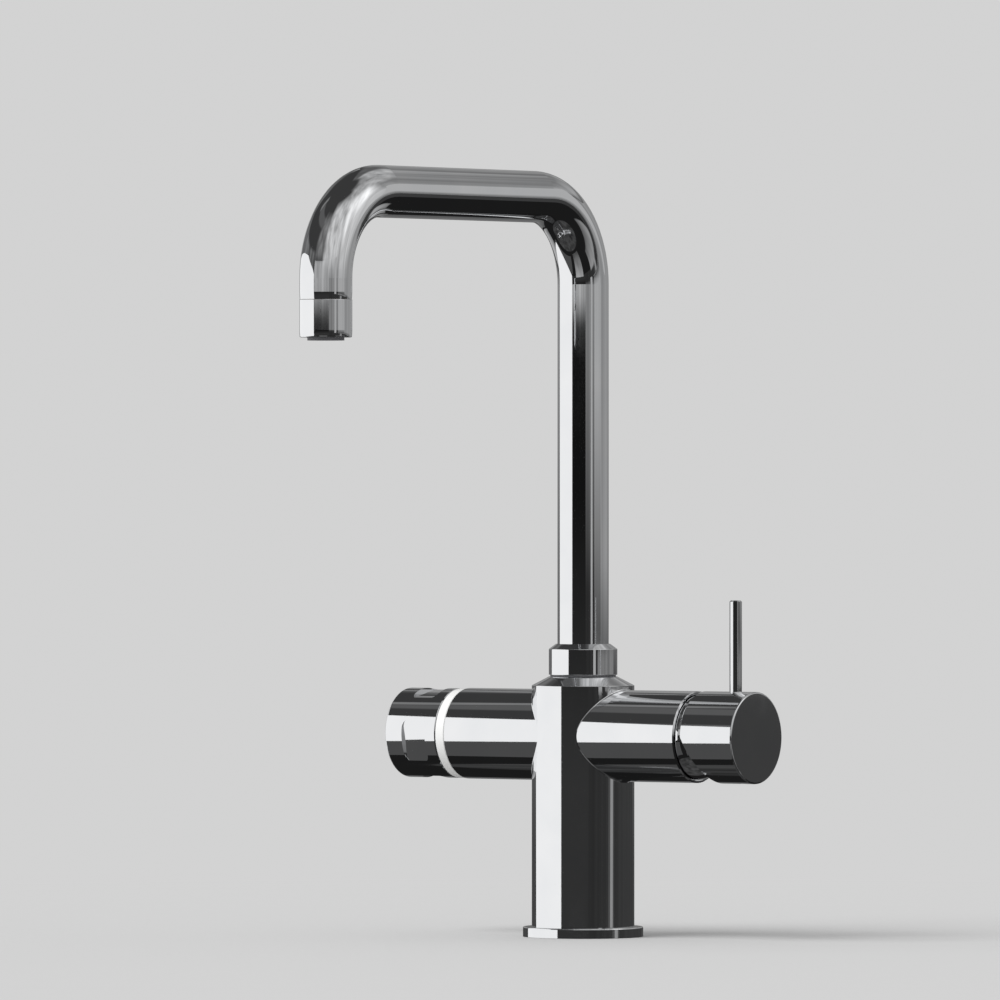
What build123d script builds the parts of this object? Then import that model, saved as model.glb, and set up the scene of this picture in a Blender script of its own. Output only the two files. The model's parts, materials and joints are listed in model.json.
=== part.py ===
from build123d import *
import os
from math import cos, radians, sin, sqrt, tan

# Kitchen mixer tap with a swivel C spout, a mixer lever on its right arm and a second control on its left.
# Millimetres. The origin lies on the worktop under the middle of the body, +Z is up, the mixer lever
# is on +X, the second control on -X, and the spout points along -Y.

# Clearances
push_gap = 0.05          # radial gap of pieces that are pushed or screwed together
turn_gap = 0.08          # radial gap of a shaft that turns in its bore
face_gap = 0.05          # gap of flat faces that turn or slide on each other
swing_gap = 0.35         # gap of curved faces that swing past each other

# Base and body
flange_diameter = 58.6
flange_height = 4.8
flange_edge = 0.6
seal_height = 1.5
seal_width = 3.0
body_diameter = 50.0
body_wall = 4.0
spigot_wall = 2.0
spigot_lift = 0.4
edge_break = 0.5

# Arms
arm_height = 98.0
arm_diameter = 44.5
arm_reach = 68.0
arm_cover = 1.55
arm_bore = 36.2
nut_bore = 40.4
nut_bore_depth = 10.0
mouth_bore = 42.4
mouth_depth = 2.0
arm_root_fillet = 0.6

# Waterway core and its inlets
core_lift = 2.2
core_drop = 4.8
core_web = 32.0
snap_ring_thickness = 1.0
snap_ring_width = 2.2
snap_ring_seat = 0.6
supply_x = 8.0
supply_thread_bore = 9.0
supply_thread_depth = 12.0
supply_channel = 5.0
tank_x = -10.0
tank_y = -3.0
tank_thread_bore = 7.0
tank_thread_depth = 10.0
tank_channel = 4.0
stud_y = 13.0
stud_bore = 6.8
stud_depth = 20.0
return_y = 4.0
return_drop = 10.0

# Shoulder, spout seat and swivel
shoulder_rise = 4.8
shoulder_land = 0.5
shoulder_edge = 0.25
collar_diameter = 33.4
collar_height = 15.1
collar_taper_height = 2.5
collar_top_rim = 0.8
collar_edge = 0.3
cap_skirt = 4.6
cap_skirt_wall = 3.2
seat_flange_diameter = 35.0
seat_flange_height = 4.0
seat_neck_diameter = 24.0
seat_sleeve = 9.0
seat_bore = 18.2
seat_neck_drop = 0.4
washer_thickness = 0.8
washer_diameter = 32.0
clip_thickness = 1.5
clip_diameter = 28.0
clip_height = 1.2
clip_grip = 1.2
foot_flange_diameter = 28.0
foot_flange_height = 2.0
foot_plug = 14.0
foot_bore = 12.0
foot_end_gap = 1.0
o_ring_section = 1.6
o_ring_inset = 4.0
set_screw_diameter = 3.0
set_screw_height = 7.0

# Spout
tube_diameter = 25.0
tube_wall = 1.5
spout_reach = 213.0
spout_height = 359.5
bend_radius = 42.0
spout_drop = 69.8
aerator_length = 18.0
inner_tube_diameter = 8.0
inner_tube_wall = 1.0
tube_socket_depth = 14.0
tube_socket_free = 6.0

# Aerator
draw_length = 3.4
draw_depth = 0.22
draw_bow = 0.3
aerator_edge = 0.7
aerator_lip = 1.5
aerator_lip_bore = 17.6
aerator_drop = 1.4
nipple_plug = 9.0
nipple_spigot = 9.4
nipple_thread_diameter = 20.4
nipple_bore = 17.0
gasket_thickness = 1.5
gasket_bore = 14.0
jet_diameter = 10.0
jet_bore = 5.0
jet_rise = 10.0
ray_diameter = 1.7
ray_count = 16
ray_circle = 13.6

# Mixer cartridge
pivot_inset = 1.5
stem_arm = 11.5
ball_diameter = 6.0
ball_pocket_gap = 0.4
stem_neck_diameter = 4.6
stem_diameter = 9.0
stem_shoulder = 8.5
stem_square = 6.2
stem_square_length = 9.0
pin_diameter = 4.0
pin_end_gap = 0.8
carrier_thickness = 8.0
carrier_rim = 1.6
disc_diameter = 22.0
moving_disc_thickness = 4.0
fixed_disc_thickness = 4.0
fixed_disc_diameter = 31.0
base_thickness = 5.0
cartridge_diameter = 35.0
cartridge_wall = 1.45
cartridge_roof = 3.0
rotor_gap = 0.4
rotor_flange_thickness = 1.5
rotor_flange_diameter = 29.0
rotor_diameter = 24.0
rotor_rise = 6.0
rotor_slot = 19.2
neck_wall = 1.9
neck_rise = 4.5
nut_thickness = 4.0
nut_notch = 4.0
nut_notch_depth = 2.5
port_y = 7.5
port_rise = 4.0
port_diameter = 5.0
outlet_drop = 6.0
outlet_diameter = 6.0
mixed_rise = 6.0
mixed_slot_depth = 6.0
mix_pocket_diameter = 12.4
mix_pocket_drop = 4.0
mix_pocket_depth = 2.0
seal_ring_section = 1.4
peg_diameter = 3.0
peg_length = 2.5
peg_rise = 11.5

# Mixer handle
dome_radius = 20.7
dome_wall = 1.2
dome_hole_angle = 39.0
dome_skirt = 2.5
cap_gap = 4.1
cap_length = 29.6
cap_edge = 0.8
relief_angle = 25.0
relief_edge = 0.3
stem_hold = 0.5
lever_diameter = 6.0
lever_inset = 12.1
lever_rise = 44.0
lever_sink = 13.0
lever_edge = 0.6
handle_screw_diameter = 5.0
handle_screw_length = 8.0
handle_screw_inset = 7.0
hex_key = 2.5
hex_key_depth = 2.5

# Second valve and its knob
headwork_inset = 8.0
headwork_thread_diameter = 21.0
headwork_thread_length = 14.0
headwork_barrel = 10.0
headwork_barrel_diameter = 19.0
headwork_bore = 16.0
headwork_hex = 24.0
headwork_hex_height = 4.0
headwork_neck_diameter = 14.0
headwork_neck = 5.0
headwork_window = 5.0
valve_chamber_diameter = 27.0
bottom_seal_height = 2.0
bottom_seal_bore = 11.0
valve_disc_thickness = 2.5
valve_port_angle = 84.0
valve_port_margin = 2.0
spindle_flange = 4.0
spindle_diameter = 8.0
spindle_drive_length = 10.0
spindle_drive_sides = 12
spindle_clip_thickness = 1.0
spindle_clip_width = 2.4
spindle_groove_depth = 0.5
marker_width = 5.0
marker_diameter = 44.0
marker_bore = 30.0
marker_spigot = 5.0
marker_edge = 0.3
knob_gap = 0.3
knob_diameter = 44.0
knob_length = 30.0
knob_edge = 0.8
knob_cavity_diameter = 32.0
knob_end_wall = 8.3
knob_carrier_length = 16.0
recess_count = 4
recess_turn = -10.3
recess_from_end = 10.1
recess_length = 13.9
recess_width = 22.0
recess_corner = 4.5
recess_floor = 60.0
recess_depth = 1.55
knob_screw_diameter = 4.0
knob_screw_from_end = 14.0
knob_screw_turn = 212.0

# Radii and levels that several pieces share
body_radius = body_diameter / 2
body_bore_radius = body_radius - body_wall
spigot_radius = body_bore_radius + spigot_wall
arm_radius = arm_diameter / 2
arm_bore_radius = arm_bore / 2
nut_bore_radius = nut_bore / 2
body_height = arm_height + arm_radius + arm_cover
core_top = body_height - core_drop
seat_radius = arm_bore_radius - push_gap
core_radius = body_bore_radius - push_gap
core_flat = core_web / 2
tube_radius = tube_diameter / 2
tube_bore_radius = tube_radius - tube_wall
collar_radius = collar_diameter / 2
shoulder_top = body_height + shoulder_rise
swivel_level = shoulder_top + washer_thickness
collar_top = swivel_level + collar_height
seat_top = shoulder_top - seat_neck_drop
seat_flange_top = core_top + seat_flange_height
seat_bottom = core_top - seat_sleeve
foot_radius = seat_bore / 2 - turn_gap
foot_bottom = seat_bottom + foot_end_gap
foot_flange_top = swivel_level + foot_flange_height
outlet_height = spout_height - spout_drop
tube_end = outlet_height + aerator_length
inner_radius = inner_tube_diameter / 2
chamber_bottom = arm_height + mixed_rise - outlet_diameter
socket_bottom = chamber_bottom - tube_socket_depth
inner_tube_bottom = socket_bottom + tube_socket_free

# Places along the right arm, from the arm's end inwards and outwards
pivot_x = arm_reach - pivot_inset
mouth_x = arm_reach - mouth_depth
ball_x = pivot_x - stem_arm
carrier_top_x = ball_x + ball_diameter / 2 - carrier_rim
carrier_x = carrier_top_x - carrier_thickness
moving_disc_x = carrier_x - moving_disc_thickness
fixed_disc_top_x = moving_disc_x - face_gap
fixed_disc_x = fixed_disc_top_x - fixed_disc_thickness
cartridge_x = fixed_disc_x - base_thickness
rotor_x = carrier_top_x + rotor_gap
rotor_shoulder_x = rotor_x + rotor_flange_thickness
roof_x = rotor_shoulder_x + face_gap
roof_top_x = roof_x + cartridge_roof
nut_top_x = roof_top_x + nut_thickness
neck_top_x = pivot_x + neck_rise
rotor_top_x = pivot_x + rotor_rise
rotor_radius = rotor_diameter / 2
neck_bore_radius = rotor_radius + turn_gap
cap_x = arm_reach + cap_gap
cap_end_x = cap_x + cap_length
cavity_radius = dome_radius + swing_gap
stem_end_x = pivot_x + cavity_radius + stem_square_length
lever_x = cap_end_x - lever_inset
handle_screw_x = cap_end_x - handle_screw_inset

# Places along the left arm, measured outwards from the body's axis
headwork_shoulder = arm_reach - headwork_inset
thread_start = headwork_shoulder - headwork_thread_length
barrel_start = thread_start - headwork_barrel
chamber_start = barrel_start - bottom_seal_height
valve_fixed_top = barrel_start + valve_disc_thickness
valve_moving = valve_fixed_top + face_gap
spindle_start = valve_moving + valve_disc_thickness
spindle_shoulder = spindle_start + spindle_flange
headwork_hex_top = headwork_shoulder + gasket_thickness + headwork_hex_height
headwork_top = headwork_hex_top + headwork_neck
spindle_clip_start = headwork_top + face_gap
marker_end = arm_reach + marker_width
knob_start = marker_end + knob_gap
knob_end = knob_start + knob_length
knob_carrier_end = knob_end - knob_end_wall
knob_carrier_start = knob_carrier_end - knob_carrier_length
spindle_end = knob_carrier_end - face_gap

# Planes and axes: turned profiles are drawn as (distance along the axis, radius) on the arms and as
# (radius, height) on the column and the outlet
right_plane = Plane(origin=(0, 0, arm_height), x_dir=(1, 0, 0), z_dir=(0, -1, 0))
left_plane = Plane(origin=(0, 0, arm_height), x_dir=(-1, 0, 0), z_dir=(0, 1, 0))
outlet_plane = Plane(origin=(0, -spout_reach, 0), x_dir=(1, 0, 0), z_dir=(0, -1, 0))
arm_axis = Axis((0, 0, arm_height), (1, 0, 0))
outlet_axis = Axis((0, -spout_reach, 0), (0, 0, 1))


def across(x):
    """Plane square to the arms at x, with its own axes along Y and Z from the arms' axis."""
    return Plane(origin=(x, 0, arm_height), x_dir=(0, 1, 0), z_dir=(1, 0, 0))


def out_of_knob(turn, u):
    """Plane on the knob's axis, u along the left arm, that faces out at a turn up from -Y."""
    return Plane(
        origin=(-u, 0, arm_height),
        x_dir=(-1, 0, 0),
        z_dir=(0, -cos(radians(turn)), sin(radians(turn))),
    )


def along_knob(turn):
    """Plane through the arms' axis, drawn as (u along the left arm, radius), at a turn up from -Y."""
    return Plane(
        origin=(0, 0, arm_height),
        x_dir=(-1, 0, 0),
        z_dir=(0, sin(radians(turn)), cos(radians(turn))),
    )


os.makedirs("parts", exist_ok=True)


def save(piece, name):
    """Label a finished piece and write it to its own file."""
    piece.part.label = name
    export_step(piece.part, f"parts/{name}.step")


# Flange ring that the body stands on, with a groove for its seal underneath
seal_inner_radius = (spigot_radius + flange_diameter / 2 - seal_width) / 2
seal_outer_radius = seal_inner_radius + seal_width
with BuildPart() as base_flange:
    with BuildSketch(Plane.XZ):
        with BuildLine():
            Polyline(
                (spigot_radius + push_gap, 0),
                (seal_inner_radius - push_gap, 0),
                (seal_inner_radius - push_gap, seal_height),
                (seal_outer_radius + push_gap, seal_height),
                (seal_outer_radius + push_gap, 0),
                (flange_diameter / 2, 0),
                (flange_diameter / 2, flange_height),
                (spigot_radius + push_gap, flange_height),
                close=True,
            )
        make_face()
    revolve(axis=Axis.Z)
    fillet(base_flange.edges().filter_by(GeomType.CIRCLE).group_by(Axis.Z)[-1].sort_by(SortBy.RADIUS)[-1],
           flange_edge)
save(base_flange, "base_flange")

# Rubber seal in the flange's groove
with BuildPart() as base_seal:
    with BuildSketch():
        Circle(seal_outer_radius)
        Circle(seal_inner_radius, mode=Mode.SUBTRACT)
    extrude(amount=seal_height)
save(base_seal, "base_seal")

# Body casting: an upright barrel and two arms, bored out for what they hold
with BuildPart() as body_shell:
    with BuildSketch(Plane.XY.offset(flange_height)):
        Circle(body_radius)
    extrude(amount=body_height - flange_height)
    with BuildSketch(across(-arm_reach)):
        Circle(arm_radius)
    extrude(amount=2 * arm_reach)
    fillet(body_shell.edges().filter_by(GeomType.CIRCLE, reverse=True).filter_by(GeomType.LINE, reverse=True),
           arm_root_fillet)
    chamfer(body_shell.faces().sort_by(Axis.X)[0].edges(), edge_break)
    chamfer(body_shell.faces().sort_by(Axis.X)[-1].edges(), edge_break)
    with BuildSketch(Plane.XY.offset(spigot_lift)):
        Circle(spigot_radius)
    extrude(amount=flange_height - spigot_lift)
    with BuildSketch(Plane.XY.offset(spigot_lift)):
        Circle(body_bore_radius)
    extrude(amount=body_height - spigot_lift, mode=Mode.SUBTRACT)
    with BuildSketch(across(-arm_reach)):
        Circle(arm_bore_radius)
    extrude(amount=2 * arm_reach, mode=Mode.SUBTRACT)
    with BuildSketch(across(arm_reach - nut_bore_depth)):
        Circle(nut_bore_radius)
    extrude(amount=nut_bore_depth, mode=Mode.SUBTRACT)
    with BuildSketch(across(mouth_x)):
        Circle(mouth_bore / 2)
    extrude(amount=mouth_depth, mode=Mode.SUBTRACT)
    with BuildSketch(Plane.XY.offset(core_lift - snap_ring_thickness - face_gap)):
        Circle(body_bore_radius + snap_ring_seat)
    extrude(amount=snap_ring_thickness + face_gap, mode=Mode.SUBTRACT)
save(body_shell, "body_shell")

# Waterway core: brass block with the inlets and stud holes below, pockets for the two valve seats at its
# sides and the spout's chamber at its top
with BuildPart() as waterway_core:
    with BuildSketch(Plane.XY.offset(core_lift)):
        Circle(core_radius)
    extrude(amount=core_top - core_lift)
    for side in (-1, 1):
        with BuildSketch(across(side * core_flat)):
            Circle(arm_bore_radius)
        extrude(amount=side * body_radius, mode=Mode.SUBTRACT)
    with BuildSketch(Plane.XY.offset(seat_bottom)):
        Circle(seat_neck_diameter / 2 + push_gap)
    extrude(amount=seat_sleeve, mode=Mode.SUBTRACT)
    with BuildSketch(Plane.XY.offset(chamber_bottom)):
        Circle(foot_bore / 2)
    extrude(amount=seat_bottom - chamber_bottom, mode=Mode.SUBTRACT)
    with BuildSketch(Plane.XY.offset(socket_bottom)):
        Circle(inner_radius + turn_gap)
    extrude(amount=tube_socket_depth, mode=Mode.SUBTRACT)
    with BuildSketch(across(0)):
        with Locations((0, mixed_rise)):
            Circle(outlet_diameter / 2)
    extrude(amount=core_flat, mode=Mode.SUBTRACT)
    with BuildSketch(Plane.XY.offset(core_lift)):
        with Locations((supply_x, -port_y), (supply_x, port_y)):
            Circle(supply_thread_bore / 2)
    extrude(amount=supply_thread_depth, mode=Mode.SUBTRACT)
    with BuildSketch(Plane.XY.offset(core_lift)):
        with Locations((supply_x, -port_y), (supply_x, port_y)):
            Circle(supply_channel / 2)
    extrude(amount=arm_height + port_rise - core_lift, mode=Mode.SUBTRACT)
    with BuildSketch(across(supply_x)):
        with Locations((-port_y, port_rise), (port_y, port_rise)):
            Circle(supply_channel / 2)
    extrude(amount=core_flat - supply_x, mode=Mode.SUBTRACT)
    with BuildSketch(Plane.XY.offset(core_lift)):
        with Locations((tank_x, tank_y)):
            Circle(tank_thread_bore / 2)
    extrude(amount=tank_thread_depth, mode=Mode.SUBTRACT)
    with BuildSketch(Plane.XY.offset(core_lift)):
        with Locations((tank_x, tank_y)):
            Circle(tank_channel / 2)
    extrude(amount=arm_height - core_lift, mode=Mode.SUBTRACT)
    with BuildSketch(across(-core_flat)):
        with Locations((tank_y, 0)):
            Circle(tank_channel / 2)
    extrude(amount=core_flat + tank_x, mode=Mode.SUBTRACT)
    with BuildSketch(across(-core_flat)):
        with Locations((return_y, -return_drop)):
            Circle(tank_channel / 2)
    extrude(amount=core_flat, mode=Mode.SUBTRACT)
    with BuildSketch(Plane.XY.offset(core_lift)):
        with Locations((0, -stud_y), (0, stud_y)):
            Circle(stud_bore / 2)
    extrude(amount=stud_depth, mode=Mode.SUBTRACT)
save(waterway_core, "waterway_core")

# Snap ring that holds the core up in the barrel
snap_ring_radius = body_bore_radius + snap_ring_seat - push_gap
with BuildPart() as core_snap_ring:
    with BuildSketch(Plane.XY.offset(core_lift - snap_ring_thickness)):
        Circle(snap_ring_radius)
        Circle(snap_ring_radius - snap_ring_width, mode=Mode.SUBTRACT)
        with Locations((0, snap_ring_radius)):
            Rectangle(2 * snap_ring_width, 2 * snap_ring_width + snap_ring_seat, mode=Mode.SUBTRACT)
    extrude(amount=snap_ring_thickness)
save(core_snap_ring, "core_snap_ring")

# Shoulder cap: a cone that closes the barrel and screws down on the spout seat
cap_bore_radius = seat_neck_diameter / 2 + push_gap
cap_skirt_radius = body_bore_radius - push_gap
with BuildPart() as shoulder_cap:
    with BuildSketch(Plane.XZ):
        with BuildLine():
            Polyline(
                (cap_bore_radius, shoulder_top),
                (collar_radius, shoulder_top),
                (body_radius, body_height + shoulder_land),
                (body_radius, body_height),
                (cap_skirt_radius, body_height),
                (cap_skirt_radius, body_height - cap_skirt),
                (cap_skirt_radius - cap_skirt_wall, body_height - cap_skirt),
                (cap_skirt_radius - cap_skirt_wall, seat_flange_top),
                (cap_bore_radius, seat_flange_top),
                close=True,
            )
        make_face()
    revolve(axis=Axis.Z)
    fillet(shoulder_cap.edges().filter_by(GeomType.CIRCLE).group_by(SortBy.RADIUS)[-1].sort_by(Axis.Z)[-1],
           shoulder_edge)
save(shoulder_cap, "shoulder_cap")

# Spout seat: flanged brass bush that the spout's foot turns in, with a cross slot for the clip
clip_level = core_top + clip_height
clip_bore_radius = foot_radius - clip_grip + turn_gap
with BuildPart() as spout_seat:
    with BuildSketch(Plane.XZ):
        with BuildLine():
            Polyline(
                (seat_bore / 2, seat_bottom),
                (seat_neck_diameter / 2, seat_bottom),
                (seat_neck_diameter / 2, core_top),
                (seat_flange_diameter / 2, core_top),
                (seat_flange_diameter / 2, seat_flange_top),
                (seat_neck_diameter / 2, seat_flange_top),
                (seat_neck_diameter / 2, seat_top),
                (seat_bore / 2, seat_top),
                close=True,
            )
        make_face()
    revolve(axis=Axis.Z)
    with BuildSketch(Plane.XY.offset(clip_level - push_gap)):
        Circle(clip_diameter / 2 + push_gap)
        with Locations((0, seat_flange_diameter / 4)):
            Rectangle(clip_diameter + 2 * push_gap, seat_flange_diameter / 2)
    extrude(amount=clip_thickness + 2 * push_gap, mode=Mode.SUBTRACT)
save(spout_seat, "spout_seat")

# Horseshoe clip that keeps the foot down in the seat
with BuildPart() as spout_clip:
    with BuildSketch(Plane.XY.offset(clip_level)):
        Circle(clip_diameter / 2)
        Circle(clip_bore_radius, mode=Mode.SUBTRACT)
        with Locations((0, clip_diameter / 4)):
            Rectangle(2 * clip_bore_radius, clip_diameter / 2, mode=Mode.SUBTRACT)
    extrude(amount=clip_thickness)
save(spout_clip, "spout_clip")

# Plastic washer that the collar turns on
with BuildPart() as swivel_washer:
    with BuildSketch(Plane.XY.offset(shoulder_top)):
        Circle(washer_diameter / 2)
        Circle(seat_bore / 2, mode=Mode.SUBTRACT)
    extrude(amount=washer_thickness - face_gap)
save(swivel_washer, "swivel_washer")

# Spout foot: turned plug in the tube, flange under the collar and a grooved spigot in the seat
groove_root = foot_radius - o_ring_section
upper_ring_level = seat_top - o_ring_inset
lower_ring_level = foot_bottom + o_ring_inset
clip_groove_root = clip_bore_radius - turn_gap
with BuildPart() as spout_foot:
    with BuildSketch(Plane.XZ):
        with BuildLine():
            Polyline(
                (foot_bore / 2, foot_bottom),
                (foot_radius, foot_bottom),
                (foot_radius, swivel_level),
                (foot_flange_diameter / 2, swivel_level),
                (foot_flange_diameter / 2, foot_flange_top),
                (tube_bore_radius - push_gap, foot_flange_top),
                (tube_bore_radius - push_gap, foot_flange_top + foot_plug),
                (foot_bore / 2, foot_flange_top + foot_plug),
                close=True,
            )
        make_face()
    revolve(axis=Axis.Z)
    for level in (upper_ring_level, lower_ring_level):
        with BuildSketch(Plane.XY.offset(level - o_ring_section / 2 - push_gap)):
            Circle(foot_radius)
            Circle(groove_root, mode=Mode.SUBTRACT)
        extrude(amount=o_ring_section + 2 * push_gap, mode=Mode.SUBTRACT)
    with BuildSketch(Plane.XY.offset(clip_level - turn_gap)):
        Circle(foot_radius)
        Circle(clip_groove_root, mode=Mode.SUBTRACT)
    extrude(amount=clip_thickness + 2 * turn_gap, mode=Mode.SUBTRACT)
save(spout_foot, "spout_foot")

# Two O-rings in the foot's grooves
with BuildPart() as spout_o_rings:
    with Locations((0, 0, upper_ring_level), (0, 0, lower_ring_level)):
        Torus(groove_root + o_ring_section / 2, o_ring_section / 2)
save(spout_o_rings, "spout_o_rings")

# Collar round the foot of the spout, tapered in to the tube at its top
collar_neck_radius = tube_radius + collar_top_rim
set_screw_level = swivel_level + set_screw_height
with BuildPart() as spout_collar:
    with BuildSketch(Plane.XZ):
        with BuildLine():
            Polyline(
                (foot_flange_diameter / 2 + push_gap, swivel_level),
                (collar_radius, swivel_level),
                (collar_radius, collar_top - collar_taper_height),
                (collar_neck_radius, collar_top),
                (tube_radius + push_gap, collar_top),
                (tube_radius + push_gap, foot_flange_top),
                (foot_flange_diameter / 2 + push_gap, foot_flange_top),
                close=True,
            )
        make_face()
    revolve(axis=Axis.Z)
    fillet(spout_collar.edges().filter_by(GeomType.CIRCLE).group_by(SortBy.RADIUS)[-1], collar_edge)
    with BuildSketch(Plane.XZ.offset(-collar_radius)):
        with Locations((0, set_screw_level)):
            Circle(set_screw_diameter / 2 + push_gap)
    extrude(amount=collar_radius, mode=Mode.SUBTRACT)
save(spout_collar, "spout_collar")

# Grub screw at the back of the collar
with BuildPart() as collar_set_screw:
    with BuildSketch(Plane.XZ.offset(-collar_radius + edge_break)):
        with Locations((0, set_screw_level)):
            Circle(set_screw_diameter / 2)
    extrude(amount=collar_radius - edge_break - tube_radius - push_gap)
    with BuildSketch(Plane.XZ.offset(-collar_radius + edge_break)):
        with Locations((0, set_screw_level)):
            RegularPolygon(set_screw_diameter / 4, 6)
    extrude(amount=set_screw_diameter / 2, mode=Mode.SUBTRACT)
save(collar_set_screw, "collar_set_screw")

# Spout tube: one bent chromed pipe, up, over and down, drawn in a little at its end
with BuildPart() as spout_tube:
    with BuildLine():
        FilletPolyline(
            (0, 0, foot_flange_top),
            (0, 0, spout_height),
            (0, -spout_reach, spout_height),
            (0, -spout_reach, tube_end),
            radius=bend_radius,
        )
    with BuildSketch(Plane.XY.offset(foot_flange_top)):
        Circle(tube_radius)
        Circle(tube_bore_radius, mode=Mode.SUBTRACT)
    sweep()
    with BuildSketch(outlet_plane):
        with BuildLine():
            ThreePointArc(
                (tube_radius, tube_end + draw_length),
                (tube_radius - draw_depth * draw_bow, tube_end + draw_length / 2),
                (tube_radius - draw_depth, tube_end),
            )
            Polyline(
                (tube_radius - draw_depth, tube_end),
                (tube_radius + draw_depth, tube_end),
                (tube_radius + draw_depth, tube_end + draw_length),
                (tube_radius, tube_end + draw_length),
            )
        make_face()
    revolve(axis=outlet_axis, mode=Mode.SUBTRACT)
save(spout_tube, "spout_tube")

# Inner tube that carries the second supply through the spout to its own jet
jet_top = outlet_height + jet_rise
jet_seat = (outlet_height + jet_top) / 2
with BuildPart() as inner_tube:
    with BuildLine():
        FilletPolyline(
            (0, 0, inner_tube_bottom),
            (0, 0, spout_height),
            (0, -spout_reach, spout_height),
            (0, -spout_reach, jet_seat),
            radius=bend_radius,
        )
    with BuildSketch(Plane.XY.offset(inner_tube_bottom)):
        Circle(inner_radius)
        Circle(inner_radius - inner_tube_wall, mode=Mode.SUBTRACT)
    sweep()
save(inner_tube, "inner_tube")

# Threaded nipple in the end of the spout tube
nipple_bottom = tube_end - nipple_spigot
with BuildPart() as outlet_nipple:
    with BuildSketch(outlet_plane):
        with BuildLine():
            Polyline(
                (nipple_bore / 2, nipple_bottom),
                (nipple_thread_diameter / 2, nipple_bottom),
                (nipple_thread_diameter / 2, tube_end),
                (tube_bore_radius - push_gap, tube_end),
                (tube_bore_radius - push_gap, tube_end + nipple_plug),
                (nipple_bore / 2, tube_end + nipple_plug),
                close=True,
            )
        make_face()
    revolve(axis=outlet_axis)
save(outlet_nipple, "outlet_nipple")

# Aerator housing: a sleeve flush with the tube that screws on to the nipple, drawn in alike at its lower end
housing_bore_radius = nipple_thread_diameter / 2 + push_gap
lip_top = outlet_height + aerator_lip
with BuildPart() as aerator_housing:
    with BuildSketch(outlet_plane):
        with BuildLine():
            ThreePointArc(
                (tube_radius - draw_depth, outlet_height),
                (tube_radius - draw_depth * draw_bow, outlet_height + draw_length / 2),
                (tube_radius, outlet_height + draw_length),
            )
            Polyline(
                (tube_radius, outlet_height + draw_length),
                (tube_radius, tube_end - face_gap),
                (housing_bore_radius, tube_end - face_gap),
                (housing_bore_radius, lip_top),
                (aerator_lip_bore / 2, lip_top),
                (aerator_lip_bore / 2, outlet_height),
                (tube_radius - draw_depth, outlet_height),
            )
        make_face()
    revolve(axis=outlet_axis)
    rim = aerator_housing.edges().filter_by(GeomType.CIRCLE).group_by(Axis.Z)
    fillet(rim[0].sort_by(SortBy.RADIUS)[-1], aerator_edge)
    fillet(rim[-1].sort_by(SortBy.RADIUS)[-1], edge_break / 2)
save(aerator_housing, "aerator_housing")

# Rubber gasket between the nipple and the insert
insert_top = nipple_bottom - gasket_thickness
with BuildPart() as aerator_gasket:
    with BuildSketch(outlet_plane):
        with BuildLine():
            Polyline(
                (gasket_bore / 2, insert_top),
                (nipple_thread_diameter / 2, insert_top),
                (nipple_thread_diameter / 2, nipple_bottom),
                (gasket_bore / 2, nipple_bottom),
                close=True,
            )
        make_face()
    revolve(axis=outlet_axis)
save(aerator_gasket, "aerator_gasket")

# Aerator insert: moulded plug with a ring of ray holes round the jet
insert_bottom = outlet_height - aerator_drop
with BuildPart() as aerator_insert:
    with BuildSketch(outlet_plane):
        with BuildLine():
            Polyline(
                (jet_diameter / 2 + push_gap, insert_bottom),
                (aerator_lip_bore / 2 - push_gap, insert_bottom),
                (aerator_lip_bore / 2 - push_gap, lip_top),
                (nipple_thread_diameter / 2, lip_top),
                (nipple_thread_diameter / 2, insert_top),
                (jet_diameter / 2 + push_gap, insert_top),
                close=True,
            )
        make_face()
    revolve(axis=outlet_axis)
    with BuildSketch(Plane(origin=(0, -spout_reach, insert_bottom))):
        with PolarLocations(ray_circle / 2, ray_count):
            Circle(ray_diameter / 2)
    extrude(amount=insert_top - insert_bottom, mode=Mode.SUBTRACT)
save(aerator_insert, "aerator_insert")

# Jet nozzle in the middle of the insert, with a socket for the inner tube
with BuildPart() as jet_nozzle:
    with BuildSketch(outlet_plane):
        with BuildLine():
            Polyline(
                (jet_bore / 2, insert_bottom),
                (jet_diameter / 2, insert_bottom),
                (jet_diameter / 2, jet_top),
                (inner_radius + push_gap, jet_top),
                (inner_radius + push_gap, jet_seat),
                (jet_bore / 2, jet_seat),
                close=True,
            )
        make_face()
    revolve(axis=outlet_axis)
save(jet_nozzle, "jet_nozzle")

# Mixer seat: brass distributor between the core and the cartridge
with BuildPart() as mixer_seat:
    with BuildSketch(across(core_flat)):
        Circle(seat_radius)
    extrude(amount=cartridge_x - core_flat)
    with BuildSketch(across(core_flat)):
        with Locations((-port_y, port_rise), (port_y, port_rise)):
            Circle(port_diameter / 2)
        with Locations((0, -outlet_drop)):
            Circle(outlet_diameter / 2)
    extrude(amount=cartridge_x - core_flat, mode=Mode.SUBTRACT)
    with BuildSketch(across(core_flat)):
        with Locations((0, (mixed_rise - outlet_drop) / 2)):
            SlotOverall(mixed_rise + outlet_drop + outlet_diameter, outlet_diameter, rotation=90)
    extrude(amount=mixed_slot_depth, mode=Mode.SUBTRACT)
    with BuildSketch(across(cartridge_x - peg_length)):
        with Locations((0, peg_rise)):
            Circle(peg_diameter / 2 + push_gap)
    extrude(amount=peg_length, mode=Mode.SUBTRACT)
save(mixer_seat, "mixer_seat")

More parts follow.
